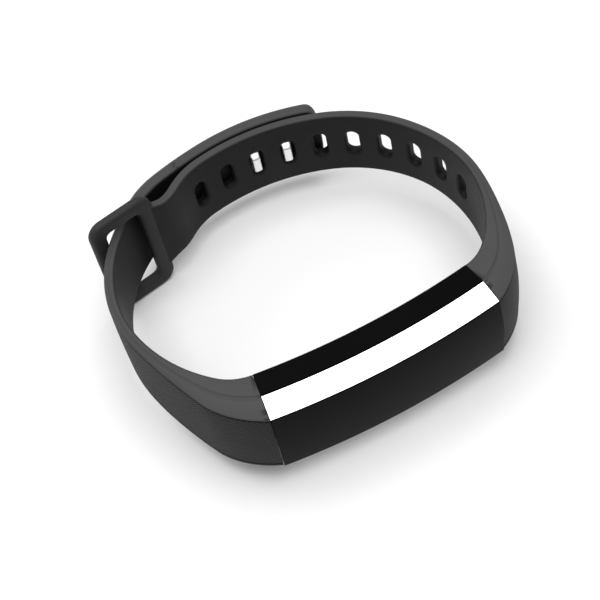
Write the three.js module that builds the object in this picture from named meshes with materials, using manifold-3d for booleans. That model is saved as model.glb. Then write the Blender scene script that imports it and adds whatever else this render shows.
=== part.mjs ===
// A fitness tracker band, closed on its own strap and standing on its edge.
// Millimetres. +Z runs along the wrist's axis, +X along the case, and the case faces -Y.
// The straps are worked out on routes in plan: s is the distance along a route from the case,
// d the distance out from the wrist side, and z the height along the wrist's axis.
import * as THREE from 'three';
import * as BufferGeometryUtils from 'three/addons/utils/BufferGeometryUtils.js';
import Module from 'manifold-3d';

const wasm = await Module();
wasm.setup();

// ---- Driving dimensions ----

const GAP = 0.3; // between neighbouring pieces

// Case: a curved capsule with a flat side facet, a bright chamfer and a domed glass
const CASE_WIDTH = 18.8;
const MID_Z = CASE_WIDTH / 2;
const CASE_THICKNESS = 9.9;
const CASE_RADIUS = 156.5; // of the wrist side, in plan
const CASE_HALF_ANGLE = 8.25; // degrees
const FACET_DEPTH = 5.4;
const CHAMFER_DROP = 1.6;
const TRIM_THICKNESS = 0.8;
const DOME_RISE = 0.6;
const GLASS_BACK = 8.2;
const HOUSING_TOP = GLASS_BACK - GAP;
const CAVITY_HALF = 17.6;
const CAVITY_Z = [MID_Z - 6, MID_Z + 6];
const COVER_THICKNESS = 1.2;
const COVER_HALF = 21;
const COVER_INSET = 1.9;

// Straps
const STRAP_THICKNESS = 2.1;
const STRAP_WIDTH = 16; // once tapered
const TAPER_LENGTH = 26; // over which a strap thins from the case
const TAPER_POWER = 2.3;
const WIDTH_TAPER_Y = [14, 40]; // where a strap narrows
const SKIN_SHARE = 0.33; // of the strap's thickness
const STATION_STEP = 2.2;

// Adjusting slots of the holed strap, and the studs that fill two of them
const SLOT_COUNT = 10;
const SLOT_PITCH = 6.9;
const FIRST_SLOT = 91.65; // from the case along the holed strap, to the slot nearest the keeper ring
const SLOT_LENGTH = 2.7; // along the strap
const SLOT_HEIGHT = 6; // across the strap
const STUDDED_SLOTS = [2, 3];
const STUD_LENGTH = 1.6;
const STUD_HEIGHT = 4.6;
const STUD_LEAD = 0.25; // towards the tail's root, so that a stud swings out of its slot
const STUD_TIP = -2.9; // how deep a stud reaches, from the tail's inner face

// Keeper ring, moulded on the holed strap's end
const RING_LENGTH = 14.8;
const RING_HEIGHT = 26;
const RING_Z = MID_Z - 0.45; // its mid height: it hangs a little low on the strap
const RING_THICKNESS = 2.2;
const RING_ARM = 3.3;
const RING_BAR = 3.4;
const RING_CORNER = 3;
const RING_CENTRE = 111.85; // along the holed strap
const HOLED_END = 106.65;

// Tail: the studded strap's free end, which lies on the outside of the holed strap
const BACK_RADIUS = 42.4; // of the holed strap's inner face, round the back of the wrist
const TAIL_GAP = 0.4;
const TAIL_RADIUS = BACK_RADIUS + STRAP_THICKNESS + TAIL_GAP;
const TAIL_THICKNESS = 3;
const TAIL_GROWTH = [57, 66]; // where the studded strap grows to it
const TAIL_ROOT = 67.5; // from the case along the studded strap, to the tail's first bend
const TAIL_BEND = 80; // and to its second bend
const TAIL_END = 105.6;
const TIP_CORNER = 2.8;

// ---- Materials ----

function finish(color, roughness, metalness = 0) {
  return new THREE.MeshStandardMaterial({ color, roughness, metalness });
}

const glassBlack = finish(0x050506, 0.06);
const caseBlack = finish(0x0c0c0d, 0.35);
const brightTrim = finish(0xf2f2f4, 0.08, 1);
const silicone = finish(0x242425, 0.62);
const skinBlack = finish(0x1b1b1c, 0.8);
const steel = finish(0xc9cacc, 0.25, 1);
const gold = finish(0xd8b25a, 0.3, 1);
const rubberBlack = finish(0x161616, 0.85);
const windowClear = finish(0x1a1c1f, 0.08);
const boardGreen = finish(0x0d3b24, 0.5);
const chipBlack = finish(0x15161a, 0.45);
const foilSilver = finish(0xb5b7ba, 0.4, 0.8);
const panelGrey = finish(0x1c1f26, 0.2);
const ledGreen = finish(0x9fe3ae, 0.3);
const filmAmber = finish(0xa8702a, 0.4);
const leadRed = finish(0x9c1d18, 0.5);
const leadBlack = finish(0x111111, 0.5);

// ---- Geometry helpers ----

const DEGREE = Math.PI / 180;

// A route in plan. Each leg is [radius, turn in degrees], or [length, 0] for a straight.
// side is 1 if the outside of the loop is left of travel, and -1 if it is right.
class Route {
  constructor(start, heading, side, legs) {
    this.side = side;
    this.legs = [];
    this.length = 0;
    let [x, y] = start;
    let angle = heading * DEGREE;
    for (const [size, turn] of legs) {
      const leg = { x, y, angle, s: this.length, size, turn: turn * DEGREE };
      this.legs.push(leg);
      this.length += turn === 0 ? size : size * Math.abs(leg.turn);
      [x, y, angle] = Route.along(leg, this.length - leg.s);
    }
  }

  static along(leg, distance) {
    const { x, y, angle, size } = leg;
    if (leg.turn === 0) {
      return [x + distance * Math.cos(angle), y + distance * Math.sin(angle), angle];
    }
    const radius = size * Math.sign(leg.turn);
    const end = angle + distance / radius;
    return [
      x + radius * (Math.sin(end) - Math.sin(angle)),
      y - radius * (Math.cos(end) - Math.cos(angle)),
      end,
    ];
  }

  // [x, y, heading] at s, which may run a little past either end
  at(s) {
    const leg = this.legs.findLast((candidate) => candidate.s <= s) ?? this.legs[0];
    return Route.along(leg, s - leg.s);
  }

  point(s, d, z) {
    const [x, y, angle] = this.at(s);
    const out = this.side * d;
    return new THREE.Vector3(x - Math.sin(angle) * out, y + Math.cos(angle) * out, z);
  }

  // Matrix that puts a piece at a point of the route: its x runs along, y across and z up
  seat(s, d, z) {
    const angle = this.at(s)[2];
    const matrix = new THREE.Matrix4().makeRotationZ(angle);
    return matrix.setPosition(this.point(s, d, z));
  }
}

function signedVolume(positions, indices) {
  let volume = 0;
  for (let i = 0; i < indices.length; i += 3) {
    const [a, b, c] = [0, 1, 2].map((k) => positions[indices[i + k]]);
    volume += a.dot(b.clone().cross(c)) / 6;
  }
  return volume;
}

// A closed solid through rings of points, with the same flat outline ending it at both ends
function loft(rings, outline) {
  const size = outline.length;
  const positions = rings.flat();
  const indices = [];
  for (let ring = 0; ring < rings.length - 1; ring += 1) {
    for (let i = 0; i < size; i += 1) {
      const a = ring * size + i;
      const b = ring * size + ((i + 1) % size);
      indices.push(a, b, b + size, a, b + size, a + size);
    }
  }
  const last = (rings.length - 1) * size;
  for (const [a, b, c] of THREE.ShapeUtils.triangulateShape(outline, [])) {
    indices.push(c, b, a, last + a, last + b, last + c);
  }
  if (signedVolume(positions, indices) < 0) {
    indices.reverse();
  }
  const geometry = new THREE.BufferGeometry().setFromPoints(positions);
  geometry.setIndex(indices);
  return geometry;
}

// A solid whose section, a polygon of [d, z] points, is carried along a route
function ribbon(route, from, to, section) {
  const steps = Math.max(1, Math.round((to - from) / STATION_STEP));
  const rings = [];
  for (let i = 0; i <= steps; i += 1) {
    const s = from + ((to - from) * i) / steps;
    rings.push(anticlockwise(section(s)).map(([d, z]) => route.point(s, d, z)));
  }
  return loft(rings, anticlockwise(section(from)).map(([d, z]) => new THREE.Vector2(d, z)));
}

function anticlockwise(polygon) {
  const area = THREE.ShapeUtils.area(polygon.map(([x, y]) => new THREE.Vector2(x, y)));
  return area < 0 ? [...polygon].reverse() : polygon;
}

function solid(geometry) {
  const bare = geometry.clone();
  bare.deleteAttribute('normal');
  bare.deleteAttribute('uv');
  const merged = BufferGeometryUtils.mergeVertices(bare, 1e-4);
  return new wasm.Manifold(
    new wasm.Mesh({
      numProp: 3,
      vertProperties: new Float32Array(merged.attributes.position.array),
      triVerts: new Uint32Array(merged.index.array),
    }),
  );
}

function geometryOf(body) {
  const mesh = body.getMesh();
  const geometry = new THREE.BufferGeometry();
  geometry.setAttribute('position', new THREE.BufferAttribute(mesh.vertProperties, 3));
  geometry.setIndex(new THREE.BufferAttribute(mesh.triVerts, 1));
  return geometry;
}

// Pieces joined into one, with every tool then cut out of it
function combine([first, ...others], tools) {
  let body = solid(first);
  for (const other of others) {
    body = body.add(solid(other));
  }
  for (const tool of tools) {
    body = body.subtract(solid(tool));
  }
  return geometryOf(body);
}

function cut(geometry, ...tools) {
  return combine([geometry], tools);
}

function rectangle(length, height, radius) {
  const [x, y] = [length / 2 - radius, height / 2 - radius];
  const shape = new THREE.Shape();
  [[x, y], [-x, y], [-x, -y], [x, -y]].forEach(([centreX, centreY], corner) => {
    const start = (corner * Math.PI) / 2;
    shape.absarc(centreX, centreY, radius, start, start + Math.PI / 2);
  });
  return shape;
}

// A plate with its outline in x and z, and its thickness along y, centred
function plate(shape, thickness, curveSegments = 4) {
  const geometry = new THREE.ExtrudeGeometry(shape, {
    depth: thickness,
    bevelEnabled: false,
    curveSegments,
  });
  geometry.translate(0, 0, -thickness / 2);
  return geometry.rotateX(Math.PI / 2);
}

function block(length, depth, height) {
  return new THREE.BoxGeometry(length, depth, height);
}

const band = new THREE.Group();

function add(name, material, geometry, matrix) {
  const mesh = new THREE.Mesh(geometry, material);
  mesh.name = name;
  if (matrix) {
    mesh.applyMatrix4(matrix);
  }
  band.add(mesh);
}

// ---- Routes ----

const caseEnd = [
  CASE_RADIUS * Math.sin(CASE_HALF_ANGLE * DEGREE),
  CASE_RADIUS * (1 - Math.cos(CASE_HALF_ANGLE * DEGREE)),
];
const caseRoute = new Route([-caseEnd[0], caseEnd[1]], -CASE_HALF_ANGLE, -1, [
  [CASE_RADIUS, 2 * CASE_HALF_ANGLE],
]);
const holedRoute = new Route(caseEnd, CASE_HALF_ANGLE, -1, [
  [9.2, 36.095],
  [23.1, 15.128],
  [30.8, 96.135],
  [BACK_RADIUS, 35.242],
  [15, 27],
  [1.5, 0],
  [10, -27],
  [4, 0],
]);
const studRoute = new Route([-caseEnd[0], caseEnd[1]], 180 - CASE_HALF_ANGLE, 1, [
  [10.5, -38.231],
  [32.1, -45.778],
  [31.2, -62.074],
  [17.6, -9.319],
  [77.5, -7.908],
  [TAIL_RADIUS, -33],
]);
const caseMiddle = caseRoute.length / 2;

// ---- Case ----

// A ribbon along the case, from one side of its middle to the other
function caseRibbon(half, polygon) {
  return ribbon(caseRoute, caseMiddle - half, caseMiddle + half, () => polygon);
}

// The same, at the mirror place about the case's mid height
function upsideDown(polygon) {
  return polygon.map(([d, z]) => [d, CASE_WIDTH - z]);
}

// A box-shaped stretch of the case, from the wrist side at d = low to d = high
function caseSlab(half, low, high, zLow, zHigh) {
  return caseRibbon(half, [[low, zLow], [high, zLow], [high, zHigh], [low, zHigh]]);
}

function caseSeat(along, d, z) {
  return caseRoute.seat(caseMiddle + along, d, z);
}

// A round cutter or plug across the case's thickness
function bore(radius, along, low, high, z, segments = 20) {
  const cylinder = new THREE.CylinderGeometry(radius, radius, high - low, segments);
  return cylinder.applyMatrix4(caseSeat(along, (low + high) / 2, z));
}

const chamferSlope = CHAMFER_DROP / (CASE_THICKNESS - FACET_DEPTH);
const chamferLength = Math.hypot(CHAMFER_DROP, CASE_THICKNESS - FACET_DEPTH);
const trimInset = [
  (-TRIM_THICKNESS * CHAMFER_DROP) / chamferLength,
  (TRIM_THICKNESS * (CASE_THICKNESS - FACET_DEPTH)) / chamferLength,
];
const trimInner = [CASE_THICKNESS + trimInset[0], CHAMFER_DROP + trimInset[1]];
const trimSection = [
  [FACET_DEPTH, 0],
  [CASE_THICKNESS, CHAMFER_DROP],
  trimInner,
  [FACET_DEPTH, trimInner[1] - chamferSlope * (trimInner[0] - FACET_DEPTH)],
];

const LUG_START = 19.4; // along the case from its middle, to the pocket for a strap's tongue
const LUG_DEPTHS = [3.3, 6.9];
const LUG_Z = [MID_Z - 4.3, MID_Z + 4.3];
const PIN_ALONG = 21.1;
const PIN_DEPTH = 5.1;
const PIN_RADIUS = 0.7;
const PIN_Z = [MID_Z - 5.4, MID_Z + 5.4];
const SCREW_ALONG = 19.2;
const SCREW_Z = 3.6;
const SCREW_DEPTH = 4;
const CONTACT_ALONG = [-14.5, -11];
const WINDOW_RADIUS = 4.6;

function screwPlaces() {
  return [-1, 1].flatMap((end) =>
    [SCREW_Z, CASE_WIDTH - SCREW_Z].map((z) => [end * SCREW_ALONG, z]));
}

// A round cutter along the wrist's axis, for a strap pin
function pinHole(end) {
  const length = PIN_Z[1] - PIN_Z[0] + 2 * GAP;
  const cylinder = new THREE.CylinderGeometry(PIN_RADIUS + GAP, PIN_RADIUS + GAP, length, 16);
  return cylinder.rotateX(Math.PI / 2).applyMatrix4(caseSeat(end * PIN_ALONG, PIN_DEPTH, MID_Z));
}

function lugPocket(end) {
  const length = 5;
  const pocket = block(length, LUG_DEPTHS[1] - LUG_DEPTHS[0], LUG_Z[1] - LUG_Z[0]);
  const along = end * (LUG_START + length / 2);
  return pocket.applyMatrix4(caseSeat(along, (LUG_DEPTHS[0] + LUG_DEPTHS[1]) / 2, MID_Z));
}

function makeHousing() {
  const shoulder = trimSection[3][1] + GAP;
  const edge = 0.25;
  const lower = [
    [0, edge],
    [edge, 0],
    [FACET_DEPTH - GAP, 0],
    [FACET_DEPTH - GAP, shoulder],
    [HOUSING_TOP, shoulder + chamferSlope * (HOUSING_TOP - FACET_DEPTH + GAP)],
  ];
  const outline = [...lower, ...upsideDown(lower).reverse()];
  const recess = [COVER_INSET - GAP, CASE_WIDTH - COVER_INSET + GAP];
  return cut(
    caseRibbon(caseMiddle, outline),
    caseSlab(CAVITY_HALF, -1, HOUSING_TOP + 1, ...CAVITY_Z),
    caseSlab(COVER_HALF + GAP, -1, COVER_THICKNESS + GAP, ...recess),
    caseSlab(18.6, 0, 2.3, 1.9, CASE_WIDTH - 1.9),
    ...[-1, 1].flatMap((end) => [lugPocket(end), pinHole(end)]),
    ...screwPlaces().map(([along, z]) => bore(0.9, along, 0.5, SCREW_DEPTH + GAP, z, 12)),
  );
}

function makeRearCover() {
  const edge = 0.3;
  const [low, high] = [COVER_INSET, CASE_WIDTH - COVER_INSET];
  const outline = [
    [0, low + edge],
    [edge, low],
    [COVER_THICKNESS, low],
    [COVER_THICKNESS, high],
    [edge, high],
    [0, high - edge],
  ];
  return cut(
    caseRibbon(COVER_HALF, outline),
    bore(WINDOW_RADIUS + GAP, 0, -1, 2, MID_Z, 32),
    ...CONTACT_ALONG.map((along) => bore(1.2 + GAP, along, -1, 2, MID_Z)),
    ...screwPlaces().flatMap(([along, z]) => [
      bore(1.1 + GAP, along, -1, 0.7, z, 16),
      bore(0.9, along, 0, 2, z, 12),
    ]),
  );
}

// A turned piece across the case's thickness; its profile is [radius, d] points from the axis
// on the wrist side to the axis on the far side
function turned(profile, along, z, segments) {
  const points = profile.map(([radius, d]) => new THREE.Vector2(radius, -d)).reverse();
  return new THREE.LatheGeometry(points, segments).applyMatrix4(caseSeat(along, 0, z));
}

function makeScrew(along, z) {
  const head = [[0, 0.15], [0.9, 0.15], [1.1, 0.3], [1.1, 0.55], [0.6, 0.7]];
  const profile = [...head, [0.6, 3.6], [0, SCREW_DEPTH]];
  return turned(profile, along, z, 12);
}

function makeContact(along) {
  const profile = [[0, -0.05], [1, -0.05], [1.2, 0.1], [1.2, 1], [0.7, 1], [0.7, 2], [0, 2]];
  return turned(profile, along, MID_Z, 20);
}

function makeWindow() {
  const rim = WINDOW_RADIUS;
  const dome = [[0, -0.6], [1.8, -0.5], [3.4, -0.2], [rim - 0.2, 0]];
  const profile = [...dome, [rim, 0.2], [rim, 1], [0, 1]];
  return turned(profile, 0, MID_Z, 32);
}

function makeGlass() {
  const rise = 6;
  const low = trimInner[1] + GAP;
  const flange = CASE_THICKNESS - 0.45;
  const edgeZ = CHAMFER_DROP + 0.3;
  const dome = Array.from({ length: rise + 1 }, (_, i) => {
    const t = (2 * i) / rise - 1;
    return [CASE_THICKNESS + DOME_RISE * (1 - t * t), MID_Z + t * (MID_Z - edgeZ)];
  });
  const back = [[GLASS_BACK, low], [flange, low]];
  return caseRibbon(caseMiddle, [...dome, ...upsideDown(back).reverse(), ...back]);
}

function makeGasket() {
  return cut(
    caseSlab(18.4, 1.55, 2.05, 2.1, CASE_WIDTH - 2.1),
    caseSlab(17.8, 1, 3, 2.8, CASE_WIDTH - 2.8),
  );
}

add('housing', caseBlack, makeHousing());
add('trim_lower', brightTrim, caseRibbon(caseMiddle, trimSection));
add('trim_upper', brightTrim, caseRibbon(caseMiddle, upsideDown(trimSection)));
add('front_glass', glassBlack, makeGlass());
add('rear_cover', caseBlack, makeRearCover());
add('rear_gasket', rubberBlack, makeGasket());
add('sensor_window', windowClear, makeWindow());
CONTACT_ALONG.forEach((along, i) => add(`charge_contact_${i + 1}`, gold, makeContact(along)));
screwPlaces().forEach(([along, z], i) => add(`cover_screw_${i + 1}`, steel, makeScrew(along, z)));
for (const [name, end] of [['left', -1], ['right', 1]]) {
  const pin = new THREE.CylinderGeometry(PIN_RADIUS, PIN_RADIUS, PIN_Z[1] - PIN_Z[0], 12);
  pin.rotateX(Math.PI / 2);
  add(`strap_pin_${name}`, steel, pin, caseSeat(end * PIN_ALONG, PIN_DEPTH, MID_Z));
}

// ---- Inside the case ----

// Flat parts lie square to the case's middle: x along, -y out from the wrist, z up
function inner(name, material, geometry, x, d, z = MID_Z) {
  geometry.translate(x, -d, z);
  add(name, material, geometry);
}

// A block from its lowest to its highest x, d, and z from the case's mid height
function innerBlock(name, material, [xLow, xHigh], [dLow, dHigh], [zLow, zHigh]) {
  const geometry = block(xHigh - xLow, dHigh - dLow, zHigh - zLow);
  inner(name, material, geometry, (xLow + xHigh) / 2, (dLow + dHigh) / 2, MID_Z + (zLow + zHigh) / 2);
}

const shieldDepth = 1;
const SHIELD_D = 1.35 + shieldDepth / 2;
const LED_X = 2.6;
function makeShield() {
  const disc = new THREE.CylinderGeometry(WINDOW_RADIUS, WINDOW_RADIUS, shieldDepth, 32);
  const openings = [-LED_X, 0, LED_X].map((x) => {
    const height = x === 0 ? 3.2 : 2.2;
    return block(2, 2, height).translate(x, 0, 0);
  });
  return cut(disc, ...openings);
}

inner('sensor_shield', rubberBlack, makeShield(), 0, SHIELD_D);
innerBlock('sensor_led_left', ledGreen, [-3.2, -2], [1.85, 2.45], [-0.8, 0.8]);
innerBlock('sensor_led_right', ledGreen, [2, 3.2], [1.85, 2.45], [-0.8, 0.8]);
innerBlock('photodiode', panelGrey, [-0.7, 0.7], [1.85, 2.45], [-1.3, 1.3]);
innerBlock('sensor_board', boardGreen, [-5.8, 5.8], [2.5, 2.95], [-5.4, 5.4]);
innerBlock('battery_pad', rubberBlack, [-5, 5], [3, 3.2], [-5, 5]);
innerBlock('battery', foilSilver, [-13, 8], [3.25, 5.35], [-5.4, 5.4]);
innerBlock('main_board', boardGreen, [-16.4, 16.4], [5.75, 6.3], [-5.6, 5.6]);
innerBlock('radio_processor', chipBlack, [9, 13], [5, 5.7], [-0.6, 3.4]);
innerBlock('memory_chip', chipBlack, [13.6, 16], [5.1, 5.7], [0, 3]);
innerBlock('motion_sensor', chipBlack, [-15.9, -13.9], [5.1, 5.7], [1.4, 3.4]);
innerBlock('antenna', gold, [-16.2, -15.4], [5.2, 5.7], [-5, 0]);
innerBlock('display_panel', panelGrey, [-12, 12], [6.75, 7.45], [-5.6, 5.6]);
add('touch_film', windowClear, caseSlab(17.2, 7.97, 8.1, MID_Z - 5.7, MID_Z + 5.7));

// Flat cable from the panel's end, folded back under it to the board
function makeDisplayFlex() {
  const thickness = 0.15;
  const shape = new THREE.Shape();
  shape.moveTo(12.1, -7.2);
  shape.lineTo(13.1, -7.2);
  shape.absarc(13.1, -6.85, 0.35, 1.5 * Math.PI, 2.5 * Math.PI);
  shape.lineTo(12.1, -6.5);
  shape.lineTo(12.1, -6.5 - thickness);
  shape.lineTo(13.1, -6.5 - thickness);
  shape.absarc(13.1, -6.85, 0.35 - thickness, 0.5 * Math.PI, 1.5 * Math.PI, true);
  shape.lineTo(12.1, -7.2 + thickness);
  return new THREE.ExtrudeGeometry(shape, { depth: 8, bevelEnabled: false, curveSegments: 6 });
}

add('display_flex', filmAmber, makeDisplayFlex().translate(0, 0, MID_Z - 4));

// Insulated leads from the battery's end to the board
function makeLead(z) {
  const route = new THREE.CatmullRomCurve3([
    new THREE.Vector3(-13.1, -4.3, z),
    new THREE.Vector3(-13.9, -4.3, z),
    new THREE.Vector3(-14.4, -4.8, z),
    new THREE.Vector3(-14.4, -5.7, z),
  ]);
  const round = new THREE.Shape().absarc(0, 0, 0.28, 0, 2 * Math.PI);
  return new THREE.ExtrudeGeometry(round, { steps: 8, extrudePath: route, curveSegments: 4 });
}

add('battery_lead_positive', leadRed, makeLead(MID_Z - 3));
add('battery_lead_negative', leadBlack, makeLead(MID_Z - 1.8));

// Vibration motor: a can along x, whose shaft carries a half-round weight
const MOTOR_D = 2.9;
const MOTOR_Z = MID_Z - 3.4;
function makeMotorCan() {
  const can = new THREE.CylinderGeometry(1.6, 1.6, 4.8, 20);
  const hole = new THREE.CylinderGeometry(0.5, 0.5, 3, 12).translate(0, -2.4, 0);
  return cut(can, hole).rotateZ(Math.PI / 2);
}

function makeMotorWeight() {
  const depth = 1.8;
  const half = new THREE.Shape().absarc(0, 0, 1.4, 0, Math.PI);
  const weight = new THREE.ExtrudeGeometry(half, { depth, bevelEnabled: false, curveSegments: 10 });
  const collar = new THREE.CylinderGeometry(0.8, 0.8, depth, 16).rotateX(Math.PI / 2);
  const shaftHole = new THREE.CylinderGeometry(0.5, 0.5, 4, 12).rotateX(Math.PI / 2);
  const body = combine([weight, collar.translate(0, 0, depth / 2)], [shaftHole]);
  return body.rotateY(Math.PI / 2);
}

inner('motor_can', steel, makeMotorCan(), 11.2, MOTOR_D, MOTOR_Z);
const shaft = new THREE.CylinderGeometry(0.25, 0.25, 4, 12).rotateZ(Math.PI / 2);
inner('motor_shaft', steel, shaft, 14.6, MOTOR_D, MOTOR_Z);
inner('motor_weight', foilSilver, makeMotorWeight(), 14.3, MOTOR_D, MOTOR_Z);

// ---- Straps ----

// The case's thickness, falling to the strap's own, which grows again for the tail
function strapThickness(route, s) {
  const left = Math.max(0, 1 - s / TAPER_LENGTH);
  const taper = (CASE_THICKNESS - STRAP_THICKNESS) * left ** TAPER_POWER;
  const grown = route === studRoute ? THREE.MathUtils.smoothstep(s, ...TAIL_GROWTH) : 0;
  return STRAP_THICKNESS + taper + (TAIL_THICKNESS - STRAP_THICKNESS) * grown;
}

function strapHalfWidth(route, s) {
  const [near, far] = WIDTH_TAPER_Y;
  const share = THREE.MathUtils.smoothstep(route.at(s)[1], near, far);
  return THREE.MathUtils.lerp(CASE_WIDTH, STRAP_WIDTH, share) / 2;
}

// The strap's outline at s: its flat side, its chamfer, and where the skin sits on its outside
function strapSizes(route, s) {
  const thickness = strapThickness(route, s);
  const scale = thickness / CASE_THICKNESS;
  const half = strapHalfWidth(route, s);
  return {
    half,
    thickness,
    facet: FACET_DEPTH * scale,
    skinHalf: half - CHAMFER_DROP * scale,
    skin: SKIN_SHARE * Math.min(thickness, 3),
  };
}

// The core: as wide as the strap on the wrist side, with a recess for the skin on the outside
function coreSection(route) {
  return (s) => {
    const { half, thickness, facet, skinHalf, skin } = strapSizes(route, s);
    const edge = 0.35;
    const lip = 0.25;
    const upper = [
      [0, half - edge],
      [edge, half],
      [facet, half],
      [thickness, skinHalf],
      [thickness - skin - 0.1, skinHalf - lip],
    ];
    const below = upper.map(([d, z]) => [d, MID_Z - z]);
    const above = upper.map(([d, z]) => [d, MID_Z + z]);
    return [...below, ...above.reverse()];
  };
}

function skinSection(route) {
  return (s) => {
    const { thickness, skinHalf, skin } = strapSizes(route, s);
    const half = skinHalf - 0.7;
    const top = thickness;
    const back = thickness - skin + 0.15;
    return [[back, MID_Z - half], [top, MID_Z - half], [top, MID_Z + half], [back, MID_Z + half]];
  };
}

const STRAP_START = GAP;

// A tongue that enters the case's end, with a hole for the pin
function tongue(end) {
  const start = LUG_START + GAP;
  const length = caseMiddle + 1.4 - start;
  const depth = LUG_DEPTHS[1] - LUG_DEPTHS[0] - 2 * GAP;
  const height = LUG_Z[1] - LUG_Z[0] - 2 * GAP;
  const along = end * (start + length / 2);
  return block(length, depth, height)
    .applyMatrix4(caseSeat(along, (LUG_DEPTHS[0] + LUG_DEPTHS[1]) / 2, MID_Z));
}

function slotCutter(index) {
  const s = FIRST_SLOT - index * SLOT_PITCH;
  const shape = rectangle(SLOT_LENGTH, SLOT_HEIGHT, 1.2);
  return plate(shape, 12).applyMatrix4(holedRoute.seat(s, 0, MID_Z));
}

function makeRing() {
  const outline = rectangle(RING_LENGTH, RING_HEIGHT, RING_CORNER);
  const hole = rectangle(RING_LENGTH - 2 * RING_BAR, RING_HEIGHT - 2 * RING_ARM, 1.2);
  outline.holes.push(hole);
  return plate(outline, RING_THICKNESS, 5)
    .applyMatrix4(holedRoute.seat(RING_CENTRE, RING_THICKNESS / 2, RING_Z));
}

const slots = Array.from({ length: SLOT_COUNT }, (_, index) => slotCutter(index));

const holedBlank = ribbon(holedRoute, STRAP_START, HOLED_END, coreSection(holedRoute));
const holedBody = combine([holedBlank, tongue(1), makeRing()], [pinHole(1), ...slots]);
add('holed_strap', silicone, holedBody);
const holedSkin = ribbon(holedRoute, STRAP_START, HOLED_END - 8, skinSection(holedRoute));
add('holed_strap_skin', skinBlack, cut(holedSkin, ...slots));

const studBlank = ribbon(studRoute, STRAP_START, TAIL_ROOT - GAP / 2, coreSection(studRoute));
add('studded_strap', silicone, combine([studBlank, tongue(-1)], [pinHole(-1)]));
const studSkin = ribbon(studRoute, STRAP_START, TAIL_ROOT - GAP / 2, skinSection(studRoute));
add('studded_strap_skin', skinBlack, studSkin);

// ---- Tail and studs ----

// Where on the studded strap's route a slot of the holed strap lies
function acrossFrom(s) {
  const arc = studRoute.legs.at(-1);
  return arc.s + (arc.angle - holedRoute.at(s)[2] + Math.PI) * arc.size;
}

const studPlaces = STUDDED_SLOTS.map((index) => {
  return acrossFrom(FIRST_SLOT - index * SLOT_PITCH) - STUD_LEAD;
});
const PLATE_D = [0.75, 1.15];
const STUD_BASE = 0.7;

// What lies outside the tail's rounded tip: a frame round a rounded plate, open at the root's side
function tipCutter() {
  const half = strapHalfWidth(studRoute, TAIL_END);
  const corner = TIP_CORNER;
  const shape = new THREE.Shape();
  shape.moveTo(-corner, -half);
  shape.absarc(-corner, corner - half, corner, -Math.PI / 2, 0);
  shape.absarc(-corner, half - corner, corner, 0, Math.PI / 2);
  shape.lineTo(-corner, half + 2);
  shape.lineTo(4, half + 2);
  shape.lineTo(4, -half - 2);
  shape.lineTo(-corner, -half - 2);
  return plate(shape, 12, 8).applyMatrix4(studRoute.seat(TAIL_END, 0, MID_Z));
}

function studCutter(s) {
  const shape = rectangle(STUD_LENGTH - 0.4 + 2 * GAP, STUD_HEIGHT - 0.8 + 2 * GAP, 0.6);
  return plate(shape, 3).applyMatrix4(studRoute.seat(s, 0, MID_Z));
}

const plateMiddle = (studPlaces[0] + studPlaces[1]) / 2;
const plateHalf = (studPlaces[1] - studPlaces[0]) / 2 + 1.6;
function plateRibbon(margin) {
  const [low, high] = [PLATE_D[0] - margin / 2, PLATE_D[1] + margin];
  const [bottom, top] = [-1, 1].map((sign) => MID_Z + sign * (STUD_HEIGHT / 2 + margin));
  const half = plateHalf + margin;
  return ribbon(studRoute, plateMiddle - half, plateMiddle + half, () => {
    return [[low, bottom], [high, bottom], [high, top], [low, top]];
  });
}

const middleSpan = [TAIL_ROOT + GAP / 2, TAIL_BEND - GAP / 2];
const tipSpan = [TAIL_BEND + GAP / 2, TAIL_END];
add('tail_middle', silicone, ribbon(studRoute, ...middleSpan, coreSection(studRoute)));
add('tail_middle_skin', skinBlack, ribbon(studRoute, ...middleSpan, skinSection(studRoute)));
const tipBlank = ribbon(studRoute, ...tipSpan, coreSection(studRoute));
add('tail_tip', silicone, cut(tipBlank, tipCutter(), plateRibbon(0.1), ...studPlaces.map(studCutter)));
const tipSkin = ribbon(studRoute, ...tipSpan, skinSection(studRoute));
add('tail_tip_skin', skinBlack, cut(tipSkin, tipCutter()));
add('stud_plate', steel, plateRibbon(0));

// A stud: a flat shank with a wider head, whose end is a ridge across the strap
function makeStud() {
  const neck = [STUD_LENGTH - 0.4, STUD_HEIGHT - 0.8];
  const head = [STUD_LENGTH, STUD_HEIGHT];
  const shank = block(neck[0], STUD_BASE + 1.4, neck[1]).translate(0, -(STUD_BASE - 1.4) / 2, 0);
  const ridge = new THREE.Shape();
  ridge.moveTo(-head[0] / 2, 1.2);
  ridge.lineTo(-head[0] / 2, 2);
  ridge.lineTo(-0.25, -STUD_TIP);
  ridge.lineTo(0.25, -STUD_TIP);
  ridge.lineTo(head[0] / 2, 2);
  ridge.lineTo(head[0] / 2, 1.2);
  const wedge = new THREE.ExtrudeGeometry(ridge, { depth: head[1], bevelEnabled: false });
  return combine([shank, wedge.translate(0, 0, -head[1] / 2)], []).rotateZ(Math.PI);
}

studPlaces.forEach((s, i) => add(`stud_${i + 1}`, steel, makeStud(), studRoute.seat(s, 0, MID_Z)));

// The origin is the middle of the band's box, on the surface that it stands on
const box = new THREE.Box3().setFromObject(band, true);
const centre = box.getCenter(new THREE.Vector3());
band.position.set(-centre.x, -centre.y, -box.min.z);

export default band;
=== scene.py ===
"""The looks of a closed wrist fitness band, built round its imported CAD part.

Lengths in the shape functions are millimetres in the band's own plan: s is the distance along a
strap from the case, d the distance out from the wrist side, and z the height along the wrist's axis.
"""

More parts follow.
